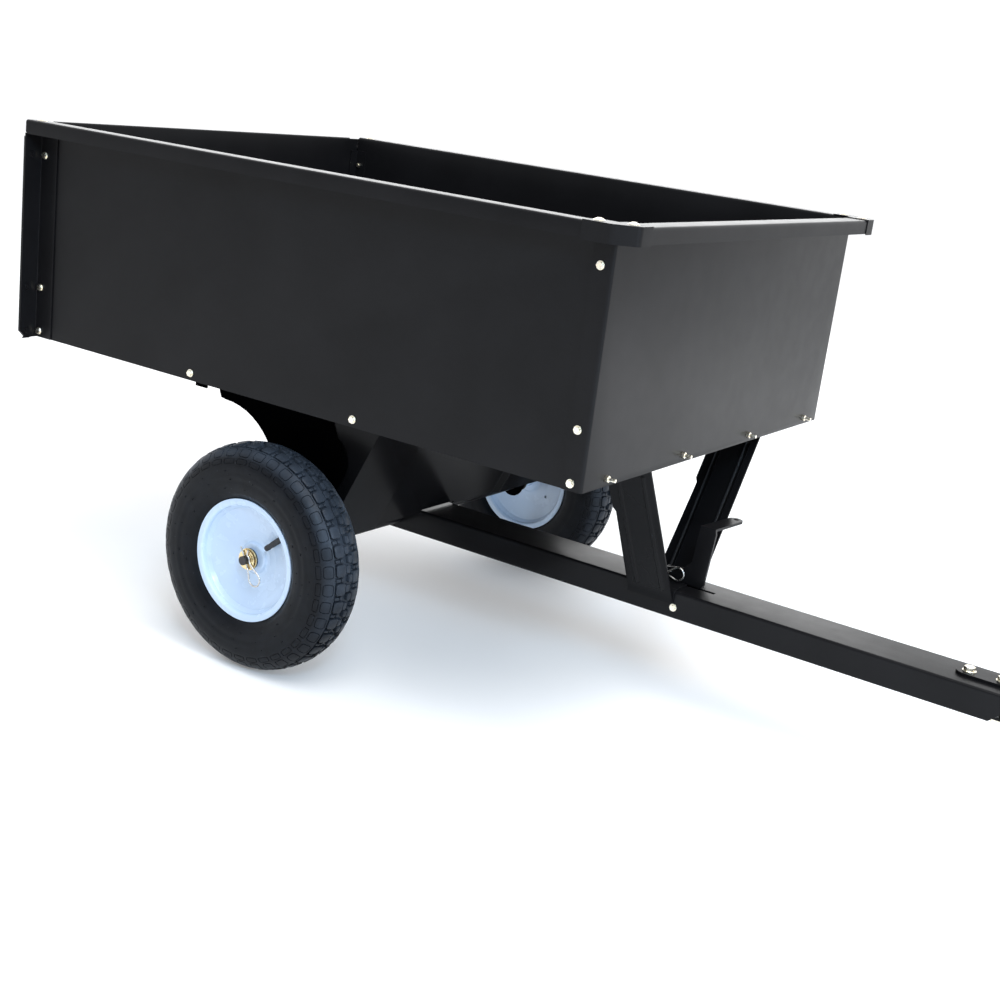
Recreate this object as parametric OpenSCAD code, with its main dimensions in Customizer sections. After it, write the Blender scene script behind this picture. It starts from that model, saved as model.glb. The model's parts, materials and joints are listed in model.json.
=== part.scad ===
// Tow behind dump cart: a sheet steel tray that tips on its axle, carried on two pneumatic
// wheels and a tubular tongue with a foot latch and a strap hitch.
// Millimetres. X runs forward to the hitch, Y to the left, Z up; the ground is Z = 0.
// Right-hand parts are drawn at -Y and mirrored for the left.

/* [Tray] */
// Length of the tray, tailgate plane to front panel
tray_len = 1215; // [1000:5:1300]
// Width over the side panels
tray_w = 916; // [860:2:960]
// Height of the tray's underside above the ground
tray_z = 480; // [450:1:500]
// Height of the walls, underside to rail top
tray_h = 400; // [300:2:420]
// Distance from the axle to the front panel
tray_front = 624; // [560:2:650]
// Thickness of the tray's sheet
sheet = 2; // [1.5:0.5:2.5]
// How far the folded rail stands out from the wall
rail_out = 40; // [30:1:50]
// Height of the rail's turned-down edge
rail_drop = 25; // [18:1:30]

/* [Wheels] */
// Radius of the tyre
tyre_r = 203; // [190:1:215]
// Width of the tyre
tyre_w = 106; // [90:2:110]
// Radius of the rim's flange
rim_r = 109; // [100:0.5:112]
// Distance from the middle of the cart to the middle of each wheel
wheel_y = 448; // [440:1:460]
// Diameter of the axle
axle_d = 16; // [14:0.5:20]

/* [Tongue] */
// Width of the tongue tube
tongue_w = 102; // [90:2:110]
// Height of the tongue tube
tongue_h = 50; // [42:2:54]
// Distance from the axle to the front end of the tube
tongue_front = 1206; // [1100:2:1250]
// Distance from the axle to the hitch hole
hitch_x = 1298; // [1240:2:1340]
// Diameter of the hitch hole
hitch_d = 16.5; // [12:0.5:20]

/* [Hidden] */
$fn = 48;

paint = [0.10, 0.10, 0.11];
zinc = [0.78, 0.74, 0.60];
steel = [0.62, 0.62, 0.64];
rubber = [0.07, 0.07, 0.08];
white = [0.92, 0.94, 0.97];

// Levels and planes of the tray
top_z = tray_z + tray_h;
half_w = tray_w / 2;
rear_x = tray_front - tray_len;
inside_y = half_w - sheet;
floor_top = tray_z + sheet;
fold_r = 4;
cap_t = 1.5;
plate = 3;
edge_h = 23;
floor_end = tray_front - 12;

// Running clearance of every pin in its hole, and clearance of a bolt
run = 0.05;
bolt_gap = 0.25;

// Wheels and axle
axle_z = tyre_r;
axle_r = axle_d / 2;
rim_half = 43;
hub_end = 25;
hub_r = 14;
bush_flange = 3;
washer_t = 2.5;
washer_gap = 1.6;
axle_half = wheel_y + 45;
clip_wire = 1.6;
clip_turn = 62;
clip_y = wheel_y + hub_end + bush_flange + 2 * washer_t + washer_gap + 2.6;

// Tongue and hitch
tongue_z = axle_z + 1;
tongue_top = tongue_z + tongue_h / 2;
tongue_wall = 3;
tongue_rear = -38;
tongue_round = 5;
strap_t = 5;
strap_w = 40;
strap_rear = 1103;
hitch_bolt_xs = [1124, 1179];
hitch_bolt_r = 5;

// Brackets that hang the tray on the axle
bracket_y = 366;
bracket_boss = 27;
slant = 25;
cross_bottom = 226;
cross_x = 64;

// Struts, saddle and latch
strut_front = 614;
strut_rear = 525;
strut_lean = 31.8;
saddle_t = 2.5;
saddle_gap = 0.6;
strut_y = tongue_w / 2 + saddle_gap + saddle_t + plate / 2;
strut_knee = tongue_top - 14;
strut_foot = tongue_top - 22;
strut_top_y = strut_y + (tray_z - strut_knee) * tan(strut_lean);
strut_bolt_xs = [547, 593];
strut_bolt_y = strut_top_y + 16;
pivot_x = 568;
pivot_z = tongue_top + 13;
pivot_r = 4;
tread_y = 91;
ear_near = -8;
ear_far = 14;
ear_t = 2.5;
latch_clip_y = -15;
pedal_t = 6;
pedal_top = 344;
slot_rear = 564;
slot_front = 668;
catch_x = 616;
catch_z = 199.5;
catch_r = 3;

// Tailgate and its runners, behind the side panels' rear edges
gate_t = 2;
gate_gap = 0.8;
runner_t = 2.5;
angle_leg = 42;
angle_out = 39;
angle_top = top_z - 24;
gate_x = rear_x - runner_t - gate_gap - gate_t;

// Bolt places: heights up the tray's corners and steps along its bottom edge
m6 = 3;
corner_bolt_zs = [tray_z + 11.5, tray_z + 94, tray_z + 337.5];
side_low_xs = [-185, 183];
front_low_ys = [-388, -130, 130, 388];
low_bolt_z = tray_z + 13;
front_bolt_tail = 17;
front_bolt_x = tray_front - 20.5;
rear_bolt_x = rear_x + 10;
guide_bolt_zs = [for (z = corner_bolt_zs) z + 1];

// The cart is centred on the origin along X
rear_reach = rear_x - 2 * runner_t - 2.4 * m6;
front_reach = hitch_x + strap_w / 2;
axle_x = -(front_reach + rear_reach) / 2;

// Rim, hub and valve
rim_t = 2.4;
seat_r = rim_r - 11;
bead_r = seat_r + rim_t / 2 + 0.3;
bead_out = rim_half - rim_t - 1;
bush_r = axle_r + 3;
hub_inner = 52;
valve_r = 5.3;
valve_turn = 38.5;
slip = 0.1;
bracket_bolts_at = [[75, 315], [52, 461]];
member_bolts_at = [[-158, 345], [-110, 345], [154, 180], [162, 340]];
under_bolts_at = concat(member_bolts_at, [for (x = strut_bolt_xs) [x, strut_bolt_y]]);
rail_bolts_at = [[tray_front - 23, half_w + 19], [tray_front + 21, half_w - 3], [rear_x + 18, half_w + 18]];
rib_ys = [-300, -120, 120, 300];
guide_bolt_y = half_w + 24;
gate_y = half_w + 8;
gate_rail_y = 428;
gate_rib_zs = [tray_z + 110, tray_z + 230];
cross_fold_y = 209;
cap_chamfer = 32;
bead_xs = [547, 597];

// ---- folded sheet sections -------------------------------------------------------------

function unit(v) = v / norm(v);
function turn(v, a) = [v.x * cos(a) - v.y * sin(a), v.x * sin(a) + v.y * cos(a)];
function side(u, w) = u.x * w.y - u.y * w.x;

// Arc of radius r that rounds the corner v between directions u and w
function bend(v, u, w, r, n = 5) =
    let (s = sign(side(u, w)), a = acos(u * w), p = v - u * r * tan(a / 2),
         c = p + s * r * [-u.y, u.x])
    [for (i = [0:n]) c + turn(p - c, s * a * i / n)];

function folded(p, r) = [p[0],
    for (i = [1:len(p) - 2]) each bend(p[i], unit(p[i] - p[i - 1]), unit(p[i + 1] - p[i]), r),
    p[len(p) - 1]];

// Offset direction at point i of a line, scaled so that straight runs keep their spacing
function mitre(q, i) =
    let (a = unit(q[max(i, 1)] - q[max(i, 1) - 1]),
         b = unit(q[min(i, len(q) - 2) + 1] - q[min(i, len(q) - 2)]), m = unit(a + b))
    [-m.y, m.x] / (m * a);

// Section of a sheet of thickness t folded along the points p, rounded to radius r
module section(p, t, r = fold_r) {
    q = folded(p, r);
    last = len(q) - 1;
    polygon([for (i = [0:last]) q[i] + mitre(q, i) * t / 2,
             for (i = [last:-1:0]) q[i] - mitre(q, i) * t / 2]);
}

module along_x(x0, x1) translate([x0, 0, 0]) rotate([90, 0, 90]) linear_extrude(x1 - x0) children();
module along_y(y0, y1) translate([0, y1, 0]) rotate([90, 0, 0]) linear_extrude(y1 - y0) children();
module along_z(z0, z1) translate([0, 0, z0]) linear_extrude(z1 - z0) children();

// Holes and rods along an axis, centred on p, reaching d to both sides
module rod_x(p, r, d) translate(p) rotate([0, 90, 0]) cylinder(h = 2 * d, r = r, center = true);
module rod_y(p, r, d) translate(p) rotate([90, 0, 0]) cylinder(h = 2 * d, r = r, center = true);
module rod_z(p, r, d) translate(p) cylinder(h = 2 * d, r = r, center = true);

module left() mirror([0, 1, 0]) children();

// ---- fasteners, drawn with the head's seat at Z = 0 and the shank pointing down --------

// tail is how far the shank reaches past the sheets
module hex_bolt(grip, r, dome, tail) {
    color(zinc) {
        if (dome) {
            rotate_extrude() intersection() {
                translate([0, -8.5]) circle(r = 12.5);
                square([10, 6]);
            }
        } else {
            cylinder(h = 1.2, r = 2.3 * r);
            cylinder(h = 1.5 * r, r = 1.9 * r, $fn = 6);
        }
        translate([0, 0, -grip - tail]) cylinder(h = grip + tail + 0.1, r = r);
        translate([0, 0, -grip - 1.7 * r]) difference() {
            cylinder(h = 1.7 * r, r = 1.9 * r, $fn = 6);
            translate([0, 0, -1]) cylinder(h = 1.7 * r + 2, r = r + run);
        }
    }
}
module bolt_at(p, turned, grip, r = m6, dome = false, tail = 0)
    translate(p) rotate(turned) hex_bolt(grip, r, dome, tail > 0 ? tail : 2.4 * r);
head_right = [90, 0, 0];
head_front = [0, 90, 0];
head_back = [0, -90, 0];

// Spring clip in its own plane: the straight leg runs along X through a pin of radius pin_r
// at the origin, and the bow lies at distance neck beyond it
module spring_clip(pin_r, bow, neck, leg) color(steel) {
    hug = pin_r + clip_wire + 0.2;
    ring = [for (a = [-150:15:120]) [neck, bow * 0.6] + bow * [cos(a), sin(a)]];
    grip = [for (a = [40:12:124]) turn([hug, 0], a)];
    path = concat([[pin_r + 3, 0]], ring, [grip[0] + [5, 1]], grip, [grip[len(grip) - 1] + [-6, 5]]);
    last = len(path) - 1;
    rod_x([(pin_r + 6 - leg) / 2, 0, 0], clip_wire, pin_r + 6 + leg);
    translate([0, 0, -clip_wire - 0.05]) linear_extrude(2 * clip_wire + 0.1)
        polygon([for (i = [0:last]) path[i] + mitre(path, i) * (clip_wire + 0.05),
                 for (i = [last:-1:0]) path[i] - mitre(path, i) * (clip_wire + 0.05)]);
}

// ---- tongue, axle and hitch (root) -----------------------------------------------------

module tube_outline(w, h, r) {
    translate([-w / 2 + r, -h / 2]) square([w - 2 * r, h]);
    translate([-w / 2, -h / 2 + r]) square([w, h - 2 * r]);
    for (x = [-1, 1], y = [-1, 1]) translate([x * (w / 2 - r), y * (h / 2 - r)]) circle(r = r);
}

module tongue() color(paint) difference() {
    along_x(tongue_rear, tongue_front) translate([0, tongue_z]) difference() {
        tube_outline(tongue_w, tongue_h, tongue_round);
        tube_outline(tongue_w - 2 * tongue_wall, tongue_h - 2 * tongue_wall,
            tongue_round - tongue_wall);
    }
    // front end cut back below
    translate([tongue_front, -tongue_w, tongue_z - tongue_h / 2]) rotate([0, 45, 0])
        translate([-20, 0, -20]) cube([40, 2 * tongue_w, 40]);
    rod_y([0, 0, axle_z], axle_r + run, tongue_w);
    rod_y([catch_x, 0, catch_z], catch_r + bolt_gap, tongue_w);
    translate([slot_rear, -pedal_t / 2 - 1.5, tongue_z - tongue_h])
        cube([slot_front - slot_rear, pedal_t + 3, 2 * tongue_h]);
    for (x = hitch_bolt_xs) rod_z([x, 0, tongue_z], hitch_bolt_r + bolt_gap, tongue_h);
}

module axle() color(steel) difference() {
    rod_y([0, 0, axle_z], axle_r, axle_half);
    for (s = [-1, 1]) translate([0, s * clip_y, axle_z]) rotate([0, clip_turn, 0])
        rod_x([0, 0, 0], clip_wire + run, axle_d);
}

module axle_spacer_right() color(paint) difference() {
    translate([0, -(tongue_w / 2 + bracket_y - plate) / 2 - 0.2, axle_z]) rotate([90, 0, 0])
        cylinder(h = bracket_y - plate - tongue_w / 2 - 1.4, r = axle_r + 4, center = true);
    rod_y([0, 0, axle_z], axle_r + run, axle_half);
}
module axle_spacer_left() left() axle_spacer_right();

// Two washers outside the wheel and a sleeve between it and the bracket
module wheel_washers_right() color(zinc) {
    outer = wheel_y + hub_end + bush_flange + 0.4;
    inner = bracket_y + plate / 2 + 0.2;
    for (i = [0, 1]) axle_ring(outer + i * (washer_t + washer_gap), washer_t, 19.5 - 2 * i);
    axle_ring(inner, wheel_y - hub_inner - bush_flange - 0.4 - inner, axle_r + 4);
}
module axle_ring(y, t, r) translate([0, -y, axle_z]) rotate([90, 0, 0]) difference() {
    cylinder(h = t, r = r);
    translate([0, 0, -1]) cylinder(h = t + 2, r = axle_r + run);
}
module wheel_washers_left() left() wheel_washers_right();

module wheel_clip_right() translate([0, -clip_y, axle_z]) rotate([0, clip_turn, 0]) rotate([90, 0, 0])
    spring_clip(axle_r, 13, 37, 25);
module wheel_clip_left() left() wheel_clip_right();

module catch_bolt() bolt_at([catch_x, -tongue_w / 2, catch_z], head_right, tongue_w, catch_r);

module strap_outline() difference() {
    union() {
        translate([strap_rear + strap_w / 2, -strap_w / 2])
            square([hitch_x - strap_rear - strap_w / 2, strap_w]);
        for (x = [strap_rear + strap_w / 2, hitch_x]) translate([x, 0]) circle(d = strap_w);
    }
    for (x = hitch_bolt_xs) translate([x, 0]) circle(r = hitch_bolt_r + bolt_gap);
    translate([hitch_x, 0]) circle(d = hitch_d);
}
module hitch_strap_top() color(paint) along_z(tongue_top, tongue_top + strap_t) strap_outline();
module hitch_strap_bottom() color(paint)
    along_z(tongue_top - tongue_h - strap_t, tongue_top - tongue_h) strap_outline();
module hitch_bolts() for (x = hitch_bolt_xs)
    bolt_at([x, 0, tongue_top + strap_t], [0, 0, 15], tongue_h + 2 * strap_t, hitch_bolt_r);

// ---- wheels ----------------------------------------------------------------------------

// Half of the tyre's section, bead to crown: square shoulders above the widest point c
function tyre_half(w, h, c, n = 14) = [for (i = [-n:n])
    let (s = sin(89 * i / n) * (i < 0 ? 0.87 : 1), e = i < 0 ? 2.8 : 2.5)
    [c + h * s, w * pow(1 - pow(abs(s), e), 1 / e)]];
function over(q) = [for (p = q) [p.x, -p.y]];
function back_to_front(q) = [for (i = [len(q) - 1:-1:0]) q[i]];

module tyre_right() color(rubber) translate([0, -wheel_y, axle_z]) rotate([90, 0, 0]) {
    h = (tyre_r - rim_r + 10) / 2;
    c = tyre_r - h;
    bead = [[bead_r, bead_out], [bead_r, bead_out - 9]];
    outer = concat([bead[0]], tyre_half(tyre_w / 2, h, c));
    inner = concat([bead[1]], tyre_half(tyre_w / 2 - 8, h - 8, c));
    rotate_extrude($fn = 96)
        polygon(concat(outer, back_to_front(over(outer)), over(inner), back_to_front(inner)));
}
module tyre_left() left() tyre_right();

// Pressed steel rim: a barrel with a flange at each side and a dished disc in each half
module rim_right() color(white) translate([0, -wheel_y, axle_z]) rotate([90, 0, 0]) difference() {
    edge = rim_half - rim_t / 2;
    well = seat_r - 7;
    barrel = [[rim_r, edge], [seat_r, edge], [seat_r, 32], [well, 24.5]];
    disc = [[well, 25], [76, 21], [52, 14], [36, 11.5], [29, 12], [25, 17], [hub_r + 0.6, 17]];
    union() {
        rotate_extrude($fn = 96) section(concat(barrel, back_to_front(over(barrel))), rim_t, 3);
        rotate_extrude($fn = 96) section(disc, rim_t, 4);
        rotate_extrude($fn = 96) section(over(disc), rim_t, 4);
    }
    translate([0, 0, -rim_half - 1]) cylinder(h = 2 * rim_half + 2, r = hub_r + run);
    valve_place() translate([0, 0, -60]) cylinder(h = 80, r = valve_r + 0.1);
    // vents between the disc halves
    for (a = [90, 210, 330]) rotate([0, 0, a]) translate([58, 0, -rim_half]) cylinder(h = rim_half, r = 3);
}
module rim_left() left() rim_right();

// The valve leaves the barrel inward and lies in front of the dish
module valve_place() rotate([0, 0, valve_turn]) translate([90, 0, 29]) rotate([0, -94, 0]) children();
module valve_right() color(rubber) translate([0, -wheel_y, axle_z]) rotate([90, 0, 0]) valve_place() {
    translate([0, 0, -4]) cylinder(h = 30, r = valve_r);
    translate([0, 0, 26]) cylinder(h = 10, r = valve_r - 0.6);
    translate([0, 0, 36]) cylinder(h = 8, r1 = valve_r, r2 = valve_r - 0.4);
}
module valve_left() left() valve_right();

module hub_right() color(white) translate([0, -wheel_y, axle_z]) rotate([90, 0, 0]) difference() {
    translate([0, 0, -hub_inner]) cylinder(h = hub_inner + hub_end, r = hub_r);
    translate([0, 0, -hub_inner - 1]) cylinder(h = hub_inner + hub_end + 2, r = bush_r + run);
}
module hub_left() left() hub_right();

module hub_bushes_right() color(rubber) translate([0, -wheel_y, axle_z]) rotate([90, 0, 0]) {
    for (s = [[hub_end, 0], [-hub_inner, 180]]) translate([0, 0, s[0]]) rotate([s[1], 0, 0]) difference() {
        union() {
            cylinder(h = bush_flange, r = hub_r + 5);
            translate([0, 0, -22]) cylinder(h = 22.1, r = bush_r);
        }
        translate([0, 0, -23]) cylinder(h = 30, r = axle_r + run);
    }
}
module hub_bushes_left() left() hub_bushes_right();

// ---- tray ------------------------------------------------------------------------------

// Bolt shanks, as tools to drill every sheet they pass through
hole_r = m6 + bolt_gap;
module side_holes() for (s = [-1, 1]) {
    for (z = corner_bolt_zs, x = [rear_bolt_x, front_bolt_x]) rod_y([x, s * half_w, z], hole_r, 14);
    for (x = side_low_xs) rod_y([x, s * half_w, low_bolt_z], hole_r, 14);
}
module front_holes() for (y = front_low_ys) rod_x([tray_front, y, low_bolt_z], hole_r, 14);
module rail_holes() for (s = [-1, 1], p = rail_bolts_at) rod_z([p.x, s * p.y, top_z], hole_r, 10);
module guide_holes() for (s = [-1, 1], z = guide_bolt_zs) rod_x([rear_x, s * guide_bolt_y, z], hole_r, 14);
module under_holes() for (s = [-1, 1], p = under_bolts_at) rod_z([p.x, s * p.y, tray_z], hole_r, 12);

// Ribbed floor sheet
module floor_pan() color(paint) difference() {
    w = inside_y - slip;
    z = tray_z + sheet / 2;
    ribs = [for (c = rib_ys) each [[c - 30, z], [c - 22, z + 5], [c + 22, z + 5], [c + 30, z]]];
    along_x(rear_x, floor_end) section(concat([[-w, z]], ribs, [[w, z]]), sheet, 3);
    under_holes();
}

// Upright strips along the floor's edges, which the panels are bolted to; the side ones stop
// short of the nuts in the front corners, and the front one has a foot that carries the floor on
module floor_edge_right() color(paint) difference() {
    translate([rear_x, slip - inside_y, floor_top]) cube([tray_len - 38, sheet, edge_h]);
    side_holes();
}
module floor_edge_left() left() floor_edge_right();
module floor_edge_front() color(paint) difference() {
    x = tray_front - 1.5 * sheet - slip;
    z = tray_z + sheet / 2;
    along_y(14 - inside_y, inside_y - 14)
        section([[floor_end + slip, z], [x, z], [x, floor_top + edge_h]], sheet);
    front_holes();
}

module side_panel_right() color(paint) difference() {
    y = half_w - sheet / 2;
    out = half_w + rail_out - sheet / 2;
    along_x(rear_x, tray_front - 7)
        section([[-y, tray_z], [-y, top_z - 1], [-out, top_z - 1], [-out, top_z - rail_drop]], sheet);
    translate([rear_x, -half_w - rail_out, top_z - rail_drop]) rotate([0, 45, 0])
        translate([-2.5, -20, -2.5]) cube([5, 40, 5]);
    side_holes();
    rail_holes();
}
module side_panel_left() left() side_panel_right();

module front_panel() color(paint) difference() {
    y = half_w + slip + sheet / 2;
    x = tray_front - sheet / 2;
    out = tray_front + rail_out - sheet / 2;
    union() {
        along_z(tray_z, top_z - 5) section([[x - 34, -y], [x, -y], [x, y], [x - 34, y]], sheet, 5);
        along_y(-half_w - 3, half_w + 3)
            section([[x, top_z - 9], [x, top_z - 1], [out, top_z - 1], [out, top_z - rail_drop]], sheet);
    }
    // side flanges lie outside the side panels and end below the rails' folds
    for (s = [-1, 1]) translate([tray_front - 50, s * (half_w + 5) - 9, top_z - 9]) cube([47, 18, 20]);
    side_holes();
    front_holes();
    rail_holes();
}

// Cap over the corner where the side rail meets the front rail
module corner_cap_right() color(paint) difference() {
    x_out = tray_front + rail_out + cap_t + 0.1;
    y_out = half_w + rail_out + cap_t + 0.1;
    edge = folded([[tray_front - 38, -y_out], [x_out - cap_chamfer, -y_out],
        [x_out, cap_chamfer - y_out], [x_out, 24 - half_w]], 14);
    skirt = folded([[tray_front - 38, -y_out + cap_t / 2], [x_out - cap_chamfer - 0.3, -y_out + cap_t / 2],
        [x_out - cap_t / 2, cap_chamfer + 0.3 - y_out], [x_out - cap_t / 2, 24 - half_w]], 14);
    last = len(skirt) - 1;
    union() {
        along_z(top_z + 0.1, top_z + 0.1 + cap_t)
            polygon(concat(edge, [[tray_front - sheet, 24 - half_w],
                [tray_front - sheet, sheet - half_w], [tray_front - 38, sheet - half_w]]));
        along_z(top_z - rail_drop - 2, top_z + 0.2)
            polygon([for (i = [0:last]) skirt[i] + mitre(skirt, i) * cap_t / 2,
                     for (i = [last:-1:0]) skirt[i] - mitre(skirt, i) * cap_t / 2]);
    }
    rail_holes();
}
module corner_cap_left() left() corner_cap_right();

// Outer angle down the rear edge of the side, its second leg standing out behind the wall
module rear_angle_right() color(paint) difference() {
    y = half_w + runner_t / 2;
    x = rear_x - runner_t / 2;
    along_z(tray_z, angle_top)
        section([[rear_x + angle_leg, -y], [x, -y], [x, -half_w - angle_out]], runner_t, 2);
    lower_corner();
    side_holes();
    guide_holes();
}
// Cut across the lower outer corner of the angle and of the guide
module lower_corner() translate([rear_x, -half_w - angle_out, tray_z]) rotate([45, 0, 0])
    cube([20, 17, 17], center = true);
module rear_angle_left() left() rear_angle_right();

// Inner angle that the tailgate bears against
module tailgate_track_right() color(paint) difference() {
    y = inside_y - runner_t / 2 - slip;
    x = rear_x - runner_t / 2;
    along_z(tray_z + 32, top_z - 30) section([[rear_x + 26, -y], [x, -y], [x, 22 - inside_y]], runner_t, 2);
    side_holes();
}
module tailgate_track_left() left() tailgate_track_right();

// Joggled strip bolted behind the outer angle, with the tailgate's edge between them
module tailgate_guide_right() color(paint) difference() {
    foot = rear_x - 1.5 * runner_t;
    lip = gate_x - gate_gap - runner_t / 2;
    along_z(tray_z - 3, top_z - 30)
        section([[foot, -half_w - angle_out], [foot, -gate_y - 6], [lip, -gate_y - 2.5],
            [lip, -gate_y + 18]], runner_t, 1.4);
    // tab that the tailgate stands on
    translate([lip, -gate_y, tray_z - 3]) cube([gate_x + gate_t - lip, 18, 2.5]);
    lower_corner();
    guide_holes();
}
module tailgate_guide_left() left() tailgate_guide_right();

module tailgate() color(paint) {
    x = gate_x + gate_t / 2;
    bumps = [for (z = gate_rib_zs) each [[x, z - 16], [x - 5, z - 9], [x - 5, z + 9], [x, z + 16]]];
    along_y(-gate_rail_y, gate_rail_y)
        section(concat([[x, tray_z]], bumps, [[x, top_z - 3], [x - 6, top_z - 3], [x - 6, top_z - 12]]),
            gate_t, 2.5);
    flank = gate_y - gate_rail_y;
    for (s = [-1, 1]) translate([gate_x, s * (gate_rail_y + flank / 2) - flank / 2, tray_z])
        cube([gate_t, flank, tray_h - 4]);
}

module side_bolts_right() {
    for (z = corner_bolt_zs) {
        bolt_at([rear_bolt_x, -half_w - runner_t, z], head_right, 2 * runner_t + sheet + slip);
        bolt_at([front_bolt_x, -half_w - sheet - slip, z], head_right, 2 * sheet + slip);
    }
    for (x = side_low_xs) bolt_at([x, -half_w, low_bolt_z], head_right, 2 * sheet + slip);
}
module side_bolts_left() left() side_bolts_right();
module front_bolts() for (y = front_low_ys)
    bolt_at([tray_front - 2 * sheet - slip, y, low_bolt_z], head_back, 2 * sheet + slip,
        tail = front_bolt_tail);
module rail_bolts() for (s = [-1, 1], p = rail_bolts_at)
    bolt_at([p.x, s * p.y, top_z + (p.x > 0 ? cap_t + 0.1 : 0)], [0, 0, 0], sheet + cap_t + 0.1,
        dome = true);
module guide_bolts() for (s = [-1, 1], z = guide_bolt_zs)
    bolt_at([rear_x, s * guide_bolt_y, z], head_front, 2 * runner_t);

// ---- brackets, cross member and struts, below the tray ---------------------------------

// Pressed plate that carries one side of the tray on the axle
module axle_bracket_right() color(paint) difference() {
    union() {
        along_y(-bracket_y - plate / 2, -bracket_y + plate / 2) polygon(concat(
            [[64, tray_z], [72, tray_z - 35]], [for (a = [20:-10:-30]) [85, 371] + 22 * [cos(a), sin(a)]],
            [for (a = [-10:-20:-190]) [0, axle_z] + bracket_boss * [cos(a), sin(a)]],
            [for (a = [0:7.5:90]) [-181, 302] + 134 * [cos(a), sin(a)]],
            [[-193, 438], [-198, 450], [-198, tray_z]]));
        along_x(-198, 25) section([[-bracket_y, tray_z - 20], [-bracket_y, tray_z - plate / 2],
            [35 - bracket_y, tray_z - plate / 2]], plate, 3);
        // tab out to the side wall
        along_x(-181, -154) section([[-bracket_y, tray_z - plate / 2], [12 - half_w, tray_z - plate / 2],
            [12 - half_w, tray_z - 9]], plate, 3);
    }
    rod_y([0, -bracket_y, axle_z], axle_r + run, 10);
    for (p = bracket_bolts_at) rod_y([p.x, -bracket_y, p.y], hole_r, 10);
    under_holes();
}
module axle_bracket_left() left() axle_bracket_right();

// Folded plate across the cart, leaning forward to the tray, its ends turned back against
// the brackets and stiffened by a second plate inside each
module cross_member() color(paint) difference() {
    y_end = bracket_y - plate / 2;
    rise = tray_z - cross_bottom;
    top_x = cross_x + rise * tan(slant);
    y = y_end - plate / 2;
    union() {
        intersection() {
            translate([cross_x, 0, cross_bottom]) rotate([0, slant, 0]) translate([0, 0, -20])
                linear_extrude(rise / cos(slant) + 60)
                    section([[0, -y_end], [0, -cross_fold_y], [-9, 14 - cross_fold_y],
                        [-9, cross_fold_y - 14], [0, cross_fold_y], [0, y_end]], plate, 5);
            translate([-50, -bracket_y, cross_bottom]) cube([400, 2 * bracket_y, rise]);
        }
        for (s = [-1, 1], inset = [0, 14]) along_y(s * (y - inset) - plate / 2, s * (y - inset) + plate / 2)
            difference() {
                polygon([[top_x - 1, tray_z], [cross_x + 70 * tan(slant), cross_bottom + 70],
                    [34, cross_bottom + 70], [34, tray_z - plate - 1], [60, tray_z - plate - 1],
                    [60, tray_z]]);
                if (inset == 0) translate([66, 384]) circle(r = 44);
            }
        translate([top_x - 44, -y_end, tray_z - plate]) cube([44, 2 * y_end, plate]);
    }
    for (s = [-1, 1], p = bracket_bolts_at) rod_y([p.x, s * y, p.y], hole_r, 10);
    // notch over the tongue
    translate([cross_x - 60, -tongue_w / 2 - 4, cross_bottom - 10])
        cube([120, tongue_w + 8, tongue_top - cross_bottom + 14]);
    under_holes();
}

module bracket_bolts() {
    for (s = [0, 1]) mirror([0, s, 0]) {
        for (p = bracket_bolts_at) bolt_at([p.x, -bracket_y - plate / 2, p.y], head_right, 2 * plate);
        for (p = member_bolts_at) bolt_at([p.x, p.y, floor_top], [0, 0, 0], sheet + plate, dome = true);
    }
}

// Strut that stands on the tongue and props the tray's front, with two pressed beads
module latch_strut_right() color(paint) {
    len_up = (tray_z - plate - strut_knee) / cos(strut_lean);
    difference() {
        union() {
            translate([0, -strut_y, strut_knee]) rotate([strut_lean, 0, 0]) difference() {
                union() {
                    along_y(-plate / 2, plate / 2) polygon([[strut_rear, 0], [strut_front, 0],
                        [strut_front, len_up + 3], [strut_rear, len_up + 3], [strut_rear, 197],
                        [strut_rear + 5, 188]]);
                    for (x = bead_xs) bead(x, len_up, 1.5, 5.5);
                }
                for (x = bead_xs) bead(x, len_up, 4.6, 5);
                translate([0, -40, len_up + 1.5]) cube([800, 80, 20]);
            }
            translate([strut_rear, -strut_y - plate / 2, strut_foot])
                cube([strut_front - strut_rear, plate, strut_knee - strut_foot + 0.8]);
            translate([strut_rear, -strut_top_y - 32, tray_z - plate])
                cube([strut_front - strut_rear, 34, plate]);
        }
        translate([0, -400, tray_z]) cube([800, 800, 40]);
        under_holes();
    }
}
module bead(x, len_up, y, r) translate([x, y, 22]) {
    cylinder(h = len_up - 44, r = r, $fn = 32);
    sphere(r = r, $fn = 32);
    translate([0, 0, len_up - 44]) sphere(r = r, $fn = 32);
}
module latch_strut_left() left() latch_strut_right();
module strut_bolts() for (s = [-1, 1], x = strut_bolt_xs)
    bolt_at([x, s * strut_bolt_y, floor_top], [0, 0, 0], sheet + plate, dome = true);

// Saddle between the strut feet: it straddles the tongue and carries the latch's two ears
module saddle() color(paint) difference() {
    y = tongue_w / 2 + saddle_gap + saddle_t / 2;
    z = tongue_top + saddle_gap + saddle_t / 2;
    union() {
        along_x(strut_rear, strut_front + 1)
            section([[-y, strut_foot], [-y, z], [y, z], [y, strut_foot]], saddle_t, tongue_round + 1);
        for (e = [ear_near, ear_far]) along_y(e - ear_t / 2, e + ear_t / 2) {
            translate([pivot_x, pivot_z]) circle(r = 10);
            translate([pivot_x - 10, z]) square([20, pivot_z - z]);
        }
    }
    rod_y([pivot_x, 0, pivot_z], pivot_r + run, 40);
    translate([slot_rear - 8, -pedal_t / 2 - 1, tongue_top]) cube([80, pedal_t + 2, 6]);
}

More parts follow.
